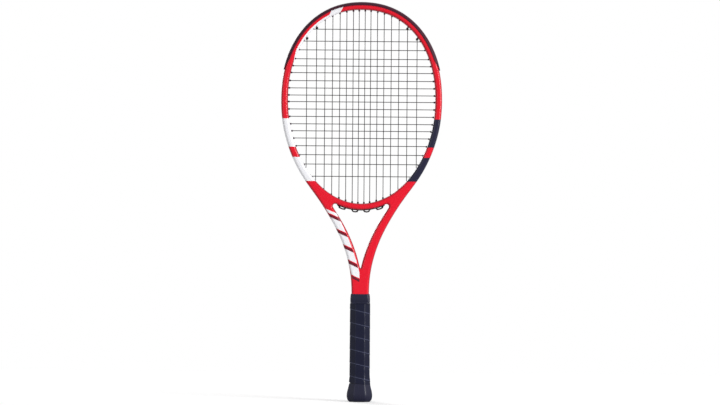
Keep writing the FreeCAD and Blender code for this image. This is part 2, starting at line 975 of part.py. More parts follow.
def rubber_collar():
    inner = fit_clearance + tape_thickness + collar_clearance
    top = collar_bottom_z + collar_height
    return shaft_tube(inner, inner + collar_thickness, collar_bottom_z, top)


def butt_cap():
    """Flared end cap: socket for the pallets, thin sleeve under the grip, doorway below."""
    wires = [
        octagon(handle_width + 2 * margin, handle_depth + 2 * margin, height)
        for height, margin in cap_profile
    ]
    flare = Part.makeLoft(wires, True, True)
    sleeve = octagon_prism(cap_sleeve_wall + fit_clearance, cap_profile[-1][0], cap_sleeve_top_z)
    cap = flare.fuse(sleeve)
    cap = cap.cut(octagon_prism(fit_clearance, pallet_bottom_z - fit_clearance, 2 * cap_sleeve_top_z))
    doorway = box_between(
        Vector(-door_half_width, -door_half_depth, -overcut),
        Vector(door_half_width, door_half_depth, pallet_bottom_z),
    )
    rebate = box_between(
        Vector(-door_half_width - door_flange, -door_half_depth - door_flange, -overcut),
        Vector(door_half_width + door_flange, door_half_depth + door_flange,
               door_recess + door_thickness / 2 + door_clearance),
    )
    return cap.cut(doorway).cut(rebate)


def butt_cap_door():
    """Trap door that snaps into the cap: a flanged plate with two latch tongues."""
    flange = box_between(
        Vector(-door_half_width - door_flange + door_clearance,
               -door_half_depth - door_flange + door_clearance, door_recess),
        Vector(door_half_width + door_flange - door_clearance,
               door_half_depth + door_flange - door_clearance, door_recess + door_thickness / 2),
    )
    plug = box_between(
        Vector(-door_half_width + door_clearance, -door_half_depth + door_clearance, door_recess),
        Vector(door_half_width - door_clearance, door_half_depth - door_clearance,
               door_recess + door_thickness),
    )
    door = flange.fuse(plug)
    for side in (-1, 1):
        outer = side * (door_half_width - door_clearance)
        inner = side * (door_half_width - door_clearance - door_flange)
        tongue = box_between(
            Vector(min(outer, inner), -door_half_depth / 2, door_recess + door_thickness / 2),
            Vector(max(outer, inner), door_half_depth / 2, pallet_bottom_z),
        )
        door = door.fuse(tongue)
    return door.removeSplitter()


def staple(height, side, margin):
    """Wire staple driven through a flat of the handle from the front or the back."""
    face = side * (handle_depth / 2 + margin)
    outside = face + side * staple_wire
    inside = face - side * staple_leg
    low_y = min(face, outside)
    high_y = max(face, outside)
    crown = box_between(
        Vector(-staple_width / 2, low_y, height - staple_wire / 2),
        Vector(staple_width / 2, high_y, height + staple_wire / 2),
    )
    wire = crown
    for end in (-1, 1):
        x = end * (staple_width / 2 - staple_wire / 2)
        leg = box_between(
            Vector(x - staple_wire / 2, min(inside, outside), height - staple_wire / 2),
            Vector(x + staple_wire / 2, max(inside, outside), height + staple_wire / 2),
        )
        wire = wire.fuse(leg)
    return wire.removeSplitter()


def grip_tack():
    """Tack that pins the start of the grip to the side of the cap's sleeve."""
    face = handle_width / 2 + cap_sleeve_wall + fit_clearance
    heading = Vector(1, 0, 0)
    shank_start = Vector(face - tack_length, 0, tack_z)
    shank = Part.makeCylinder(tack_shank / 2, tack_length, shank_start, heading)
    head = Part.makeCylinder(tack_head / 2, tack_head_thickness, Vector(face, 0, tack_z), heading)
    return shank.fuse(head).removeSplitter()


# ---- assembly --------------------------------------------------------------------------

def save(name, shape):
    os.makedirs("parts", exist_ok=True)
    shape.exportStep("parts/" + name + ".step")
    print(name, len(shape.Solids), round(shape.Volume, 1), shape.isValid())


def main():
    blank = solid_blank()
    hollow = blank.cut(channel())
    zone = bridge_zone()
    holes = drills()
    hairpin = hollow.cut(zone).fuse(legs())
    for cavity in tube_cavity():
        hairpin = hairpin.cut(cavity)
    hairpin = hairpin.cut(holes)
    core = bridge_core()
    bridge = hollow.common(zone).cut(core).cut(holes)
    save("frame_tube", hairpin)
    save("throat_bridge", bridge)
    save("bridge_core", core.cut(holes))
    save("bumper_guard", bumper_guard(blank))
    save("side_grommets_left", side_grommets(-1))
    save("side_grommets_right", side_grommets(1))
    save("throat_grommets", throat_grommets())
    save("main_string", main_string())
    save("cross_string", cross_string())
    last = len(MAINS) - 1
    save("main_knots", Part.makeCompound([knot(1), knot(last - 1)]))
    save("cross_knots", Part.makeCompound([knot(0), knot(last)]))
    cap_staples = [staple(staple_z, side, cap_sleeve_wall + fit_clearance) for side in (-1, 1)]
    tack = grip_tack()
    wires = Part.makeCompound(cap_staples + [tack])
    save("cap_staples", Part.makeCompound(cap_staples))
    save("grip_tack", tack)
    save("pallet_front", pallet(-1).cut(wires))
    save("pallet_rear", pallet(1).cut(wires))
    save("grip_wrap", grip().cut(wires))
    save("finishing_tape", finishing_tape())
    save("rubber_collar", rubber_collar())
    save("butt_cap", butt_cap().cut(wires))
    save("butt_cap_door", butt_cap_door())


main()
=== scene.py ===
import math

import bmesh
import bpy
from mathutils import Matrix, Vector, noise


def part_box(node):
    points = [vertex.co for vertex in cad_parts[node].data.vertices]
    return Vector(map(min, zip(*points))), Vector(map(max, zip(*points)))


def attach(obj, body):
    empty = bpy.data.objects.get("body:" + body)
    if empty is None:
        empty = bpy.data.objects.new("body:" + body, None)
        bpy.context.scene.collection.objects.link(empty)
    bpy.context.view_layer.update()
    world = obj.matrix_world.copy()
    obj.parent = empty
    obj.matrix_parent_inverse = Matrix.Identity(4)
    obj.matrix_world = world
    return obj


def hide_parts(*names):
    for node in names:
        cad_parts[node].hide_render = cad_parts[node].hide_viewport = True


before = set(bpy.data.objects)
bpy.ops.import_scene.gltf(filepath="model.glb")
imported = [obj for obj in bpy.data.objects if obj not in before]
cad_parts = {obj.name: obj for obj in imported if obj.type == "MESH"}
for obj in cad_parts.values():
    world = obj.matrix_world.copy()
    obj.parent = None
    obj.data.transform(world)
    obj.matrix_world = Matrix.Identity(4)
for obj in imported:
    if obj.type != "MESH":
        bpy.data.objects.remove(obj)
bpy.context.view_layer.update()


# ---- hairpin tube -----------------------------------------------------------------------
# One hollow tube of moulded fibre composite, bent like a hairpin: hoop, shafts and two legs
# inside the handle. It is sprayed red, masked for the blocks, bars and stripe, and lacquered.

def tint(red, green, blue):
    """Linear colour from the values that a display shows, 0 to 255."""
    shares = [value / 255 for value in (red, green, blue)]
    return tuple(share / 12.92 if share < 0.04 else ((share + 0.055) / 1.055) ** 2.4 for share in shares)


def new_finish(name, colour, roughness):
    """Makes a material of one colour and gives its node tree and its shader with it."""
    finish = bpy.data.materials.new(name)
    finish.use_nodes = True
    shader = finish.node_tree.nodes["Principled BSDF"]
    shader.inputs["Base Color"].default_value = (*colour, 1)
    shader.inputs["Roughness"].default_value = roughness
    return finish, finish.node_tree, shader


def step(tree, kind, *feeds, **settings):
    """Adds a node and feeds its inputs in order, each from a socket or a plain value."""
    node = tree.nodes.new(kind)
    for name, value in settings.items():
        setattr(node, name, value)
    for socket, feed in zip(node.inputs, feeds):
        if isinstance(feed, bpy.types.NodeSocket):
            tree.links.new(feed, socket)
        elif feed is not None:
            socket.default_value = feed
    return node


def maths(tree, operation, *feeds):
    """Result of one sum on sockets or plain values."""
    return step(tree, "ShaderNodeMath", *feeds, operation=operation).outputs[0]


def over(tree, share, under, colour):
    """Lays a colour over another where the share is 1."""
    mix = step(tree, "ShaderNodeMix", share, data_type="RGBA")
    for socket, feed in ((mix.inputs[6], under), (mix.inputs[7], colour)):
        if isinstance(feed, bpy.types.NodeSocket):
            tree.links.new(feed, socket)
        else:
            socket.default_value = (*feed, 1)
    return mix.outputs[2]


def own_place(tree):
    """Where a point of the surface lies on the racket, in metres."""
    return step(tree, "ShaderNodeTexCoord").outputs["Object"]


def split(tree, place):
    """The x, y and z of a place."""
    return step(tree, "ShaderNodeSeparateXYZ", place).outputs


def between(tree, value, low, high):
    """Share that is 1 where a value lies between two others."""
    above = maths(tree, "GREATER_THAN", value, low)
    below = maths(tree, "LESS_THAN", value, high)
    return maths(tree, "MULTIPLY", above, below)


def rising(tree, value, start, finish):
    """Share that climbs from 0 at one value to 1 at another."""
    share = maths(tree, "DIVIDE", maths(tree, "SUBTRACT", value, start), finish - start)
    return maths(tree, "MINIMUM", maths(tree, "MAXIMUM", share, 0.0), 1.0)


def grain(tree, shader, place, scale, strength, height):
    """Gives a surface fine relief and returns its noise, whose scale is in cells a metre."""
    texture = step(tree, "ShaderNodeTexNoise", place, None, scale).outputs[0]
    bump = tree.nodes.new("ShaderNodeBump")
    bump.inputs["Strength"].default_value = strength
    bump.inputs["Distance"].default_value = height
    tree.links.new(texture, bump.inputs["Height"])
    tree.links.new(bump.outputs[0], shader.inputs["Normal"])
    return texture


RED = tint(229, 6, 38)
# DEEP_RED is the painted shade down the tube's sides, the painted shadow beside the bumper, and the printed
# edge under the bars.
DEEP_RED = tint(112, 6, 34)
PALE = tint(243, 243, 247)
NAVY = tint(20, 20, 48)

crown_depth = 0.0119
side_depth = 0.0085


def side_shade(tree, y):
    """Share of deeper red painted as shade down the sides of the tube, away from its crowns."""
    return rising(tree, maths(tree, "ABSOLUTE", y), crown_depth, side_depth)


upper_block = 0.4365, 0.4847
lower_block = 0.3779, 0.4189


def shoulder_blocks(tree, x, z):
    """Shares of the pale blocks on the left shoulder and of the dark ones on the right."""
    bands = maths(tree, "ADD", between(tree, z, *upper_block), between(tree, z, *lower_block))
    left = maths(tree, "LESS_THAN", x, 0.0)
    right = maths(tree, "GREATER_THAN", x, 0.0)
    return maths(tree, "MULTIPLY", bands, left), maths(tree, "MULTIPLY", bands, right)


shaft_foot = 0.231
shaft_foot_offset = 0.0085
shaft_lean = 0.28
shaft_bow = 1.4
shaft_fork = -0.0015
bar_slant = 0.55
bar_pitch = 0.0265
bar_start = 0.27
bar_share = 0.30, 1.0
bar_edge_share = 0.23
bar_sides = -0.0100, 0.0044
bar_stretch = 0.2058, 0.3251


def shaft_bars(tree, x, z):
    """Shares of the slanted pale bars on the left shaft and of the dark edge under each."""
    climb = maths(tree, "SUBTRACT", z, shaft_foot)
    lean = maths(tree, "MULTIPLY", climb, shaft_lean)
    bow = maths(tree, "MULTIPLY", maths(tree, "MULTIPLY", climb, climb), shaft_bow)
    across = maths(tree, "ADD", x, maths(tree, "ADD", maths(tree, "ADD", lean, bow), shaft_foot_offset))
    height = maths(tree, "ADD", z, maths(tree, "MULTIPLY", across, bar_slant))
    row = maths(tree, "MULTIPLY", between(tree, across, *bar_sides), between(tree, height, *bar_stretch))
    row = maths(tree, "MULTIPLY", row, maths(tree, "LESS_THAN", x, shaft_fork))
    share = maths(tree, "FRACT", maths(tree, "ADD", maths(tree, "DIVIDE", height, bar_pitch), bar_start))
    bars = maths(tree, "MULTIPLY", between(tree, share, *bar_share), row)
    edge = maths(tree, "MULTIPLY", maths(tree, "LESS_THAN", share, bar_edge_share), row)
    return bars, edge


hoop_centre = 0.5168
hoop_half_width = 0.1263
head_rise = 0.1552
fullness = 2.17
side_weight = 3.0


def hoop_offset(tree, x, z):
    """Distance from the inner edge of the head, which is half of an oval fuller than an ellipse."""
    across = maths(tree, "DIVIDE", maths(tree, "ABSOLUTE", x), hoop_half_width)
    rise = maths(tree, "DIVIDE", maths(tree, "SUBTRACT", z, hoop_centre), head_rise)
    rise = maths(tree, "MAXIMUM", rise, 0.0)
    level = maths(tree, "ADD", maths(tree, "POWER", across, fullness), maths(tree, "POWER", rise, fullness))
    top_slope = fullness / head_rise
    side_slope = fullness / hoop_half_width
    steeper = maths(tree, "MULTIPLY", maths(tree, "POWER", across, side_weight), side_slope - top_slope)
    slope = maths(tree, "ADD", steeper, top_slope)
    return maths(tree, "DIVIDE", maths(tree, "SUBTRACT", level, 1.0), slope)


stripe_foot = 0.583, 0.603
stripe_width = 0.0031
stripe_slant = 0.6
broad_end = -0.0580, -0.0375


def head_stripe(tree, x, z, offset):
    """Share of the pale stripe along the left of the head's inner edge, with one broad end."""
    width = maths(tree, "MULTIPLY", rising(tree, z, *stripe_foot), stripe_width)
    lean = maths(tree, "SUBTRACT", x, maths(tree, "MULTIPLY", offset, stripe_slant))
    narrow = maths(tree, "LESS_THAN", offset, width)
    narrow = maths(tree, "MULTIPLY", narrow, maths(tree, "LESS_THAN", lean, broad_end[1]))
    stripe = maths(tree, "MAXIMUM", narrow, between(tree, lean, *broad_end))
    return maths(tree, "MULTIPLY", stripe, maths(tree, "GREATER_THAN", z, stripe_foot[0]))


side_shade_strength = 0.85
# Where the painted shadow beside the bumper lies, across the tube and up the head.
bumper_shadow_offset = 0.0060, 0.0082
bumper_shadow_height = 0.575, 0.600


def paint(name):
    """Lacquered red with its masked patterns, with deeper red painted as shade down the sides of the tube
    and as a shadow along the bumper.
    """
    finish, tree, shader = new_finish(name, RED, roughness=0.34)
    shader.inputs["Specular IOR Level"].default_value = 0.12
    shader.inputs["Coat Weight"].default_value = 0.3
    shader.inputs["Coat Roughness"].default_value = 0.16
    place = own_place(tree)
    grain(tree, shader, place, scale=420.0, strength=0.06, height=0.0002)
    x, y, z = split(tree, place)
    # Deeper red painted as shade down the sides of the tube.
    sides = maths(tree, "MULTIPLY", side_shade(tree, y), side_shade_strength)
    offset = hoop_offset(tree, x, z)
    # A painted shadow of deep red along the outer edge of the head, next to the bumper.
    bumper_shadow = maths(tree, "MULTIPLY", rising(tree, offset, *bumper_shadow_offset), rising(tree, z, *bumper_shadow_height))
    stripe = head_stripe(tree, x, z, offset)
    pale, dark = shoulder_blocks(tree, x, z)
    bars, edge = shaft_bars(tree, x, z)
    colour = RED
    for share, coat in (
            (sides, DEEP_RED), (bumper_shadow, DEEP_RED), (stripe, PALE), (dark, NAVY), (pale, PALE),
            (edge, DEEP_RED), (bars, PALE)):
        colour = over(tree, share, colour, coat)
    tree.links.new(colour, shader.inputs["Base Color"])
    return finish


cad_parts["frame_tube"].data.materials[0] = paint("frame_paint_finish")


# ---- bridge -----------------------------------------------------------------------------
# A short curved yoke of the same composite, moulded round a block of foam and bonded between
# the shafts. It closes the hoop and carries the middle strings' grommets on its underside.

def grained_finish(name, colour, roughness, metallic=0.0, **relief):
    """A finish of one colour with the fine relief that grain gives."""
    finish, tree, shader = new_finish(name, colour, roughness)
    shader.inputs["Metallic"].default_value = metallic
    grain(tree, shader, own_place(tree), **relief)
    return finish


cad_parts["throat_bridge"].data.materials[0] = paint("bridge_paint_finish")
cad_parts["bridge_core"].data.materials[0] = grained_finish(
    "core_foam_finish", tint(212, 190, 138), roughness=0.9, scale=1400.0, strength=0.5, height=0.0004)


# ---- bumper guard and grommet strips -----------------------------------------------------
# Injection moulded nylon with a satin skin. The bumper laps the head; the strips lie in the
# channel of each side and under the bridge, and their barrels line every string hole.

BUMPER = tint(58, 20, 36)
GROMMET = tint(16, 12, 18)
PALER_NYLON = tint(112, 86, 100)
paler_above = 0.36
edge_paling = 0.4
face_scuff = 0.12


def nylon(name, colour, roughness):
    """Satin nylon, paler in noisy patches all over and more so on its outer edge, high on the head."""
    finish, tree, shader = new_finish(name, colour, roughness)
    shader.inputs["Specular IOR Level"].default_value = 0.12
    place = own_place(tree)
    texture = grain(tree, shader, place, scale=1800.0, strength=0.25, height=0.0001)
    _, y, z = split(tree, place)
    # Paler on the outer edge of the nylon, above a height on the head.
    edge = maths(tree, "MULTIPLY", side_shade(tree, y), maths(tree, "GREATER_THAN", z, paler_above))
    share = maths(tree, "ADD", maths(tree, "MULTIPLY", edge, edge_paling), face_scuff)
    worn = over(tree, maths(tree, "MULTIPLY", texture, share), colour, PALER_NYLON)
    tree.links.new(worn, shader.inputs["Base Color"])
    return finish


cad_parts["bumper_guard"].data.materials[0] = nylon("bumper_nylon_finish", BUMPER, roughness=0.42)
for node in ("side_grommets_left", "side_grommets_right", "throat_grommets"):
    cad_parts[node].data.materials[0] = nylon(node + "_finish", GROMMET, roughness=0.5)


# ---- strings and knots --------------------------------------------------------------------
# Two lengths of drawn polyester monofilament, 1.3 mm thick. The mains are pulled first, the
# crosses are woven through them, and each end is tied off on its neighbour at the head.

def clouded_finish(name, colour, roughness, specular, cloud, share, **relief):
    """A finish with fine relief, whose noise also clouds the colour with a second one."""
    finish, tree, shader = new_finish(name, colour, roughness)
    shader.inputs["Specular IOR Level"].default_value = specular
    texture = grain(tree, shader, own_place(tree), **relief)
    clouded = over(tree, maths(tree, "MULTIPLY", texture, share), colour, cloud)
    tree.links.new(clouded, shader.inputs["Base Color"])
    return finish


def monofilament(name):
    """Drawn black polyester, a little uneven along its length."""
    return clouded_finish(
        name, tint(24, 22, 26), roughness=0.34, specular=0.3, cloud=tint(56, 52, 56), share=0.3,
        scale=2600.0, strength=0.12, height=0.00005)


crease_angle = math.radians(40)


def new_piece(name, mesh, finish, smooth=True):
    """Makes an object of a finished mesh and gives it its finish."""
    data = bpy.data.meshes.new(name)
    mesh.to_mesh(data)
    mesh.free()
    data.materials.append(finish)
    if smooth:
        data.shade_smooth()
        data.set_sharp_from_angle(angle=crease_angle)
    piece = bpy.data.objects.new(name, data)
    bpy.context.scene.collection.objects.link(piece)
    return piece


string_radius = 0.00065
string_sides = 10
coil_radius = 2.5 * string_radius
knot_turns = 2.75
knot_pitch = 0.00132
knot_steps = 66


def tie_knot(mesh, x, z):
    """Winds the string's end round a main from below its grommet, each turn against the last."""
    made = bmesh.ops.create_circle(
        mesh, cap_ends=True, segments=string_sides, radius=string_radius)["verts"]
    ring = {edge for vert in made for edge in vert.link_edges}
    disc = {face for vert in made for face in vert.link_faces}
    bmesh.ops.rotate(mesh, verts=made, matrix=Matrix.Rotation(math.pi / 2, 3, "X"))
    bmesh.ops.translate(mesh, verts=made, vec=(x + coil_radius, 0, z))
    bmesh.ops.spin(
        mesh, geom=[*made, *ring, *disc], cent=(x, 0, z), axis=(0, 0, 1),
        dvec=(0, 0, -knot_pitch * knot_turns / knot_steps), angle=2 * math.pi * knot_turns, steps=knot_steps)


for node in ("main_string", "cross_string"):
    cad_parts[node].data.materials[0] = monofilament(node + "_finish")

for node in ("main_knots", "cross_knots"):
    low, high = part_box(node)
    reach = high.x - (high.y - low.y) / 2
    knots = bmesh.new()
    for side in (-1, 1):
        tie_knot(knots, side * reach, high.z)
    bmesh.ops.holes_fill(knots, edges=knots.edges[:], sides=0)
    bmesh.ops.recalc_face_normals(knots, faces=knots.faces[:])
    knot_piece = new_piece(node + "_tied", knots, monofilament(node + "_finish"))
    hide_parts(node)
    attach(knot_piece, "racket")


# ---- throat string tubes --------------------------------------------------------------------
# Soft tubes of the same nylon as the grommet strip, pushed over each string where it turns from
# one main to the next below the bridge. They keep it from cutting into the strip's edge.

tube_radius = 0.00118
weld_distance = 0.00001
tube_loops = (
    ((0.0053, 0.3290), (0.0053, 0.3254), (0.0148, 0.3258), (0.0148, 0.3298)),
    ((0.0265, 0.3332), (0.0265, 0.3292), (0.0375, 0.3320), (0.0375, 0.3366)),
)
loops = bmesh.new()
for side in (-1, 1):
    for loop in tube_loops:
        curve = bpy.data.curves.new("throat_tube", "CURVE")
        curve.dimensions = "3D"
        curve.bevel_depth = tube_radius
        curve.bevel_resolution = 3
        curve.use_fill_caps = True
        route = curve.splines.new("NURBS")
        route.points.add(len(loop) - 1)
        for point, (x, z) in zip(route.points, loop):
            point.co = (side * x, 0, z, 1)
        route.order_u = 3
        route.use_endpoint_u = True
        route.resolution_u = 8
        holder = bpy.data.objects.new("throat_tube", curve)
        tube_mesh = bpy.data.meshes.new_from_object(holder)
        loops.from_mesh(tube_mesh)
        bpy.data.objects.remove(holder)
        bpy.data.meshes.remove(tube_mesh)
        bpy.data.curves.remove(curve)
bmesh.ops.remove_doubles(loops, verts=loops.verts[:], dist=weld_distance)
bmesh.ops.recalc_face_normals(loops, faces=loops.faces[:])
tube_finish = nylon("throat_tube_finish", GROMMET, roughness=0.5)
loops_piece = new_piece("throat_string_tubes", loops, tube_finish)
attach(loops_piece, "racket")


# ---- handle core: pallets, staples and tack -----------------------------------------------
# Two polyurethane shells are moulded over the tube's legs. Wire staples hold the butt cap on
# them and a tack pins the start of the grip. All of it lies under the grip.

pallet_foam = grained_finish(
    "pallet_foam_finish", tint(150, 142, 132), roughness=0.8, scale=900.0, strength=0.4, height=0.0003)
for node in ("pallet_front", "pallet_rear"):
    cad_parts[node].data.materials[0] = pallet_foam

wire = grained_finish(
    "staple_steel_finish", tint(200, 200, 204), roughness=0.3, metallic=1.0,
    scale=3000.0, strength=0.15, height=0.00005)
for node in ("cap_staples", "grip_tack"):
    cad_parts[node].data.materials[0] = wire


# ---- grip ---------------------------------------------------------------------------------
# A cushioned polyurethane strip with a smooth, slightly tacky skin. It starts at the cap's
# flare and is wound up the handle in a helix, each turn lapping the last one's upper edge.

pallet_low, pallet_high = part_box("pallet_front")
grip_low, grip_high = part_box("grip_wrap")
_, cap_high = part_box("butt_cap")
handle_half_width = pallet_high.x
handle_half_depth = -pallet_low.y
facet_share = 0.46
handle_sharpness = 34
sleeve_margin = 0.00115
seat_clearance = 0.0002
grip_flare = 0.0011
wrap_pitch = 0.0229
wrap_overrun = 0.004
start_lean = -0.11
raised_edge = 0.00203
skin_swell = 0.00010
skin_swells_a_metre = 160
turn_steps = 120
strip_section = (
    (0.00135, 0.0000), (0.00180, 0.0000), (0.00205, 0.0003), (0.00212, 0.0008), (0.00202, 0.0018),
    (0.00196, 0.0060), (0.00192, 0.0110), (0.00190, 0.0160), (0.00184, 0.0195), (0.00170, 0.0215),
    (0.00150, 0.0225), (0.00125, 0.0229), (0.00120, 0.0240), (0.00040, 0.0240), (0.00040, 0.0004),
)


def octagon_reach(angle, half_width, half_depth, sharpness):
    """Distance from the axis to the side of a soft-edged handle octagon."""
    slant = math.hypot(half_width, half_depth)
    bevel = (1 + facet_share) * half_width * half_depth / slant
    across = abs(math.cos(angle))
    deep = abs(math.sin(angle))
    nearness = (across / half_width) ** sharpness + (deep / half_depth) ** sharpness
    nearness += ((across * half_depth + deep * half_width) / slant / bevel) ** sharpness
    return nearness ** (-1 / sharpness)


wrap = bmesh.new()
start_height = grip_high.z + wrap_overrun
corners = [
    wrap.verts.new((handle_half_width + margin, 0, start_height + height))
    for margin, height in strip_section
]
strip_end = wrap.faces.new(corners)
turns = (start_height - grip_low.z + 2 * wrap_pitch) / wrap_pitch
steps = int(turns * turn_steps)
bmesh.ops.spin(
    wrap, geom=wrap.verts[:] + wrap.edges[:] + [strip_end], cent=(0, 0, 0), axis=(0, 0, 1),
    dvec=(0, 0, -wrap_pitch / turn_steps), angle=2 * math.pi * steps / turn_steps, steps=steps)
# Marks the raised lip of each turn, where a highlight is painted along the seams.
lip_highlight = wrap.verts.layers.float.new("lip_highlight")
for vert in wrap.verts:
    angle = math.atan2(vert.co.y, vert.co.x)
    margin = math.hypot(vert.co.x, vert.co.y) - handle_half_width
    vert[lip_highlight] = 1.0 if margin > raised_edge else 0.0
    spread = max(0, (cap_high.z - vert.co.z) / (cap_high.z - grip_low.z))
    if margin > sleeve_margin:
        margin += grip_flare * spread
        margin += skin_swell * noise.noise(vert.co * skin_swells_a_metre)
    if vert.co.z < cap_high.z + seat_clearance:
        margin = max(margin, sleeve_margin)
    reach = octagon_reach(angle, handle_half_width + margin, handle_half_depth + margin, handle_sharpness)
    vert.co.x = reach * math.cos(angle)
    vert.co.y = reach * math.sin(angle)
for height, side, lean in ((grip_low.z, -1, start_lean), (grip_high.z + seat_clearance, 1, 0)):
    cut = bmesh.ops.bisect_plane(
        wrap, geom=wrap.verts[:] + wrap.edges[:] + wrap.faces[:],
        plane_co=(0, 0, height), plane_no=(lean, 0, side), clear_outer=True)
    rim = [part for part in cut["geom_cut"] if isinstance(part, bmesh.types.BMEdge)]
    bmesh.ops.triangle_fill(wrap, use_beauty=True, edges=rim)
bmesh.ops.recalc_face_normals(wrap, faces=wrap.faces[:])

# The skin's own tone is clouded in noise patches; the raised lips are painted paler, as a highlight along
# the seams.
GRIP = tint(8, 11, 36)
WORN_PATCH = tint(24, 28, 54)
LIP_HIGHLIGHT = tint(96, 100, 128)
wear_and_highlight_share = 0.5
patches_a_metre = 60.0
patch_detail = 3.0

grip_skin, grip_tree, grip_shader = new_finish("grip_leather_finish", GRIP, roughness=0.29)
grip_shader.inputs["Specular IOR Level"].default_value = 0.18
grip_place = own_place(grip_tree)
grain(grip_tree, grip_shader, grip_place, scale=1500.0, strength=0.35, height=0.00015)
patches = step(grip_tree, "ShaderNodeTexNoise", grip_place, None, patches_a_metre, patch_detail).outputs[0]
# The raised lips take the painted seam highlight.
edge = step(grip_tree, "ShaderNodeAttribute", attribute_name="lip_highlight").outputs["Fac"]
skin = over(grip_tree, maths(grip_tree, "MULTIPLY", patches, wear_and_highlight_share), GRIP, WORN_PATCH)
skin = over(grip_tree, maths(grip_tree, "MULTIPLY", edge, wear_and_highlight_share), skin, LIP_HIGHLIGHT)
grip_tree.links.new(skin, grip_shader.inputs["Base Color"])
grip_piece = new_piece("grip_strip", wrap, grip_skin)
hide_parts("grip_wrap")
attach(grip_piece, "racket")


# ---- finishing tape and rubber collar -------------------------------------------------------
# Woven tape closes the top of the grip. A moulded rubber sleeve is rolled over it: it grips
# the shaft, thins to a lip at its top and slides up when the grip is changed.

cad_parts["finishing_tape"].data.materials[0] = grained_finish(
    "tape_finish", tint(28, 28, 34), roughness=0.8, scale=2500.0, strength=0.6, height=0.0002)

collar_low, collar_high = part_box("rubber_collar")
collar_wall = 0.00135
collar_height = collar_high.z - collar_low.z
collar_corner = 0.0066
corner_steps = 10
collar_rings = (
    (-collar_wall, -0.0003), (-0.0003, -0.0003), (0.0, 0.0001), (0.0, 0.0016), (-0.00035, 0.0021),
    (-0.00035, 0.0027), (0.0, 0.0032), (-0.00005, 0.0090), (-0.00040, 0.0130), (-0.00085, 0.0158),
    (-0.00110, collar_height), (-collar_wall, collar_height),
)


def rounded_rectangle(mesh, half_width, half_depth, corner, height):
    """Closed loop of a rectangle whose corners are rounded by a vertex bevel."""
    bmesh.ops.create_grid(
        mesh, x_segments=1, y_segments=1, size=1,
        matrix=Matrix.Translation((0, 0, height)) @ Matrix.Diagonal((half_width, half_depth, 1, 1)))
    bmesh.ops.bevel(
        mesh, geom=mesh.verts[:], offset=corner, offset_type="OFFSET", segments=corner_steps, profile=0.5,
        affect="VERTICES", material=-1)
    bmesh.ops.delete(mesh, geom=mesh.faces[:], context="FACES_ONLY")
    return mesh.edges[:]


def raise_wall(mesh, loop, rings, half_width, half_depth, base):
    """Extrudes a loop through rings of (margin, height), each a grown copy of the first."""
    size = half_width + rings[0][0], half_depth + rings[0][0]
    for margin, height in rings[1:]:
        made = bmesh.ops.extrude_edge_only(mesh, edges=loop)["geom"]
        loop = [part for part in made if isinstance(part, bmesh.types.BMEdge)]
        verts = [part for part in made if isinstance(part, bmesh.types.BMVert)]
        grown = half_width + margin, half_depth + margin
        bmesh.ops.scale(mesh, vec=(grown[0] / size[0], grown[1] / size[1], 1), verts=verts)
        for vert in verts:
            vert.co.z = base + height
        size = grown
    return loop


collar = bmesh.new()
first_ring = rounded_rectangle(
    collar, collar_high.x + collar_rings[0][0], collar_high.y + collar_rings[0][0],
    collar_corner - collar_wall, collar_low.z + collar_rings[0][1])
last_ring = raise_wall(collar, first_ring, collar_rings, collar_high.x, collar_high.y, collar_low.z)
bmesh.ops.bridge_loops(collar, edges=first_ring + last_ring)
bmesh.ops.recalc_face_normals(collar, faces=collar.faces[:])

rubber = clouded_finish(
    "collar_rubber_finish", tint(19, 20, 42), roughness=0.36, specular=0.22, cloud=tint(44, 45, 70),
    share=0.3, scale=700.0, strength=0.15, height=0.0002)
collar_piece = new_piece("collar_sleeve", collar, rubber)
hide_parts("rubber_collar")
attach(collar_piece, "collar")


# ---- butt cap ---------------------------------------------------------------------------------
# Moulded plastic, octagonal like the handle. Its flare stops the hand from slipping off, its
# socket is stapled over the pallets, and its floor has a doorway to the space between the legs.

def cap_plastic(name, colour):
    """Satin moulded plastic."""
    return clouded_finish(
        name, colour, roughness=0.33, specular=0.22, cloud=tint(54, 54, 76), share=0.35,
        scale=1300.0, strength=0.2, height=0.0001)


cap_sections = (
    (0.00005, 0.0460), (0.00075, 0.0460), (0.00095, 0.0458), (0.00095, 0.0312), (0.00235, 0.0312),
    (0.0031, 0.0285), (0.0039, 0.0250), (0.0047, 0.0216), (0.0054, 0.0190), (0.0060, 0.0166),
    (0.00635, 0.0140), (0.00655, 0.0108), (0.0064, 0.0078), (0.0058, 0.0050), (0.0047, 0.0027),
    (0.0032, 0.0010), (0.0022, 0.0003), (0.0012, 0.0),
)
doorway_sections = ((0.0128, 0.0), (0.0125, 0.0003), (0.0125, 0.00175), (0.0110, 0.00175), (0.0110, 0.00695))
doorway_narrowing = 0.003
doorway_sharpness = 24
socket_margin = 0.002
flare_sharpness = 26
cap_turns = 192

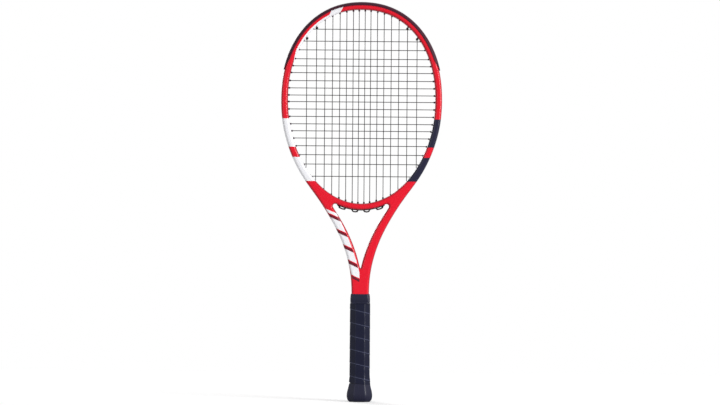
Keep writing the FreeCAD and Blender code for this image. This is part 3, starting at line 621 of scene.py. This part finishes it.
cap = bmesh.new()
section = [cap.verts.new((handle_half_width + margin, 0, height)) for margin, height in cap_sections]
section += [cap.verts.new((half_width, 0, height)) for half_width, height in doorway_sections]
section.append(cap.verts.new((handle_half_width + cap_sections[0][0], 0, doorway_sections[-1][1])))
for pair in zip(section, section[1:] + section[:1]):
    cap.edges.new(pair)
bmesh.ops.spin(
    cap, geom=cap.verts[:] + cap.edges[:], cent=(0, 0, 0), axis=(0, 0, 1), angle=2 * math.pi,
    steps=cap_turns, use_merge=True)
for vert in cap.verts:
    angle = math.atan2(vert.co.y, vert.co.x)
    width = math.hypot(vert.co.x, vert.co.y)
    if width < handle_half_width:
        across = abs(math.cos(angle)) / width
        deep = abs(math.sin(angle)) / (width - doorway_narrowing)
        reach = (across ** doorway_sharpness + deep ** doorway_sharpness) ** (-1 / doorway_sharpness)
    else:
        margin = width - handle_half_width
        sharpness = handle_sharpness if margin < socket_margin else flare_sharpness
        reach = octagon_reach(angle, width, handle_half_depth + margin, sharpness)
    vert.co.x = reach * math.cos(angle)
    vert.co.y = reach * math.sin(angle)
bmesh.ops.recalc_face_normals(cap, faces=cap.faces[:])
cap_piece = new_piece("flared_cap", cap, cap_plastic("cap_plastic_finish", tint(18, 19, 42)))
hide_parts("butt_cap")
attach(cap_piece, "racket")


# ---- trap door ------------------------------------------------------------------------------
# Moulded plate that snaps into the cap's floor: a flange in the rebate, a plug in the doorway
# and two latch tongues. Three ribs on its outer face give a nail something to pull on.

def soft_block(mesh, low, high, softness):
    """Adds a box between two corners with softened edges."""
    size = Vector(high) - Vector(low)
    middle = (Vector(high) + Vector(low)) / 2
    made = bmesh.ops.create_cube(
        mesh, size=1, matrix=Matrix.Translation(middle) @ Matrix.Diagonal((*size, 1)))
    edges = list({edge for vert in made["verts"] for edge in vert.link_edges})
    bmesh.ops.bevel(
        mesh, geom=edges, offset=softness, offset_type="OFFSET", segments=3, profile=0.5,
        affect="EDGES", material=-1)


door_low, door_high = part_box("butt_cap_door")
flange_width = 0.0015
plate = 0.0010
plug_half_width = door_high.x - flange_width
plug_half_depth = door_high.y - flange_width
door_softness = 0.0003
rib_spacing = 0.0012
rib_half_width = 0.0003
rib_half_length = 0.0040
rib_height = 0.00035
rib_softness = 0.0002

door = bmesh.new()
soft_block(
    door, (-door_high.x, -door_high.y, door_low.z), (door_high.x, door_high.y, door_low.z + plate),
    door_softness)
soft_block(
    door, (-plug_half_width, -plug_half_depth, door_low.z + plate / 2),
    (plug_half_width, plug_half_depth, door_low.z + 2 * plate), door_softness)
for side in (-1, 1):
    ends = sorted((side * plug_half_width, side * (plug_half_width - flange_width)))
    soft_block(
        door, (ends[0], -plug_half_depth / 2, door_low.z + plate),
        (ends[1], plug_half_depth / 2, door_high.z), door_softness)
for across in (-rib_spacing, 0, rib_spacing):
    soft_block(
        door, (across - rib_half_width, -rib_half_length, door_low.z - rib_height),
        (across + rib_half_width, rib_half_length, door_low.z + plate / 2), rib_softness)
bmesh.ops.recalc_face_normals(door, faces=door.faces[:])
door_piece = new_piece("trap_door", door, cap_plastic("door_plastic_finish", tint(28, 28, 38)))
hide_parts("butt_cap_door")
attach(door_piece, "cap_door")


# ---- room: floor, light and camera ------------------------------------------------------------
# A plain white floor, clear from below, in a white surround. A large soft light stands at the
# front right, weaker ones at the front left, overhead and behind, and a long lens looks level.

floor_half_width = 1.0
floor_glow = 0.3
floor_mesh = bmesh.new()
bmesh.ops.create_grid(floor_mesh, x_segments=1, y_segments=1, size=floor_half_width)
floor_finish, floor_tree, floor_shader = new_finish("floor_finish", (0.86, 0.86, 0.86), roughness=0.9)
floor_shader.inputs["Specular IOR Level"].default_value = 0.0
seen = step(floor_tree, "ShaderNodeLightPath").outputs["Is Camera Ray"]
glow = step(
    floor_tree, "ShaderNodeEmission", (1.0, 1.0, 1.0, 1.0), maths(floor_tree, "MULTIPLY", seen, floor_glow))
lit = step(floor_tree, "ShaderNodeAddShader", floor_shader.outputs[0], glow.outputs[0])
clear = step(floor_tree, "ShaderNodeBsdfTransparent")
underside = step(floor_tree, "ShaderNodeNewGeometry").outputs["Backfacing"]
one_sided = step(floor_tree, "ShaderNodeMixShader", underside, lit.outputs[0], clear.outputs[0])
floor_tree.links.new(one_sided.outputs[0], floor_tree.nodes["Material Output"].inputs["Surface"])
floor = new_piece("floor", floor_mesh, floor_finish, smooth=False)

surround_light = 0.3
world = bpy.data.worlds.new("studio")
world.use_nodes = True
bpy.context.scene.world = world
world_tree = world.node_tree
surround = world_tree.nodes["Background"]
ray = step(world_tree, "ShaderNodeLightPath").outputs
seen = maths(world_tree, "MAXIMUM", ray["Is Camera Ray"], ray["Is Glossy Ray"])
seen = maths(world_tree, "MAXIMUM", seen, ray["Is Transmission Ray"])
extra = maths(world_tree, "MULTIPLY", seen, 1 - surround_light)
surround.inputs["Color"].default_value = (1, 1, 1, 1)
world_tree.links.new(maths(world_tree, "ADD", extra, surround_light), surround.inputs["Strength"])

racket_middle = Vector((0, 0, 0.34))


def softbox(name, spot, width, height, power):
    """Rectangular lamp that faces the racket."""
    lamp = bpy.data.lights.new(name, "AREA")
    lamp.shape = "RECTANGLE"
    lamp.size = width
    lamp.size_y = height
    lamp.energy = power
    holder = bpy.data.objects.new(name, lamp)
    holder.location = spot
    holder.rotation_euler = (racket_middle - Vector(spot)).to_track_quat("-Z", "Y").to_euler()
    bpy.context.scene.collection.objects.link(holder)


softbox("key", (2.6, -2.0, 1.15), width=1.2, height=1.8, power=97)
softbox("fill", (-2.0, -3.0, 1.0), width=1.4, height=1.8, power=14)
softbox("top", (0.2, 0.4, 3.0), width=2.4, height=2.4, power=14)
softbox("rear", (-1.6, 2.9, 1.6), width=1.4, height=1.8, power=60)

camera_distance = 6.0
camera_height = 0.3416
camera_side = -0.0015
camera_roll = math.radians(0.43)
view_width = 1.2352
lens = bpy.data.cameras.new("camera")
lens.type = "PERSP"
lens.sensor_width = 36
lens.lens = lens.sensor_width * camera_distance / view_width
camera = bpy.data.objects.new("camera", lens)
camera.location = (camera_side, -camera_distance, camera_height)
level_turn = Matrix.Rotation(math.pi / 2, 3, "X")
camera.rotation_euler = (level_turn @ Matrix.Rotation(camera_roll, 3, "Z")).to_euler()
bpy.context.scene.collection.objects.link(camera)
bpy.context.scene.camera = camera
bpy.context.scene.view_settings.view_transform = "Standard"
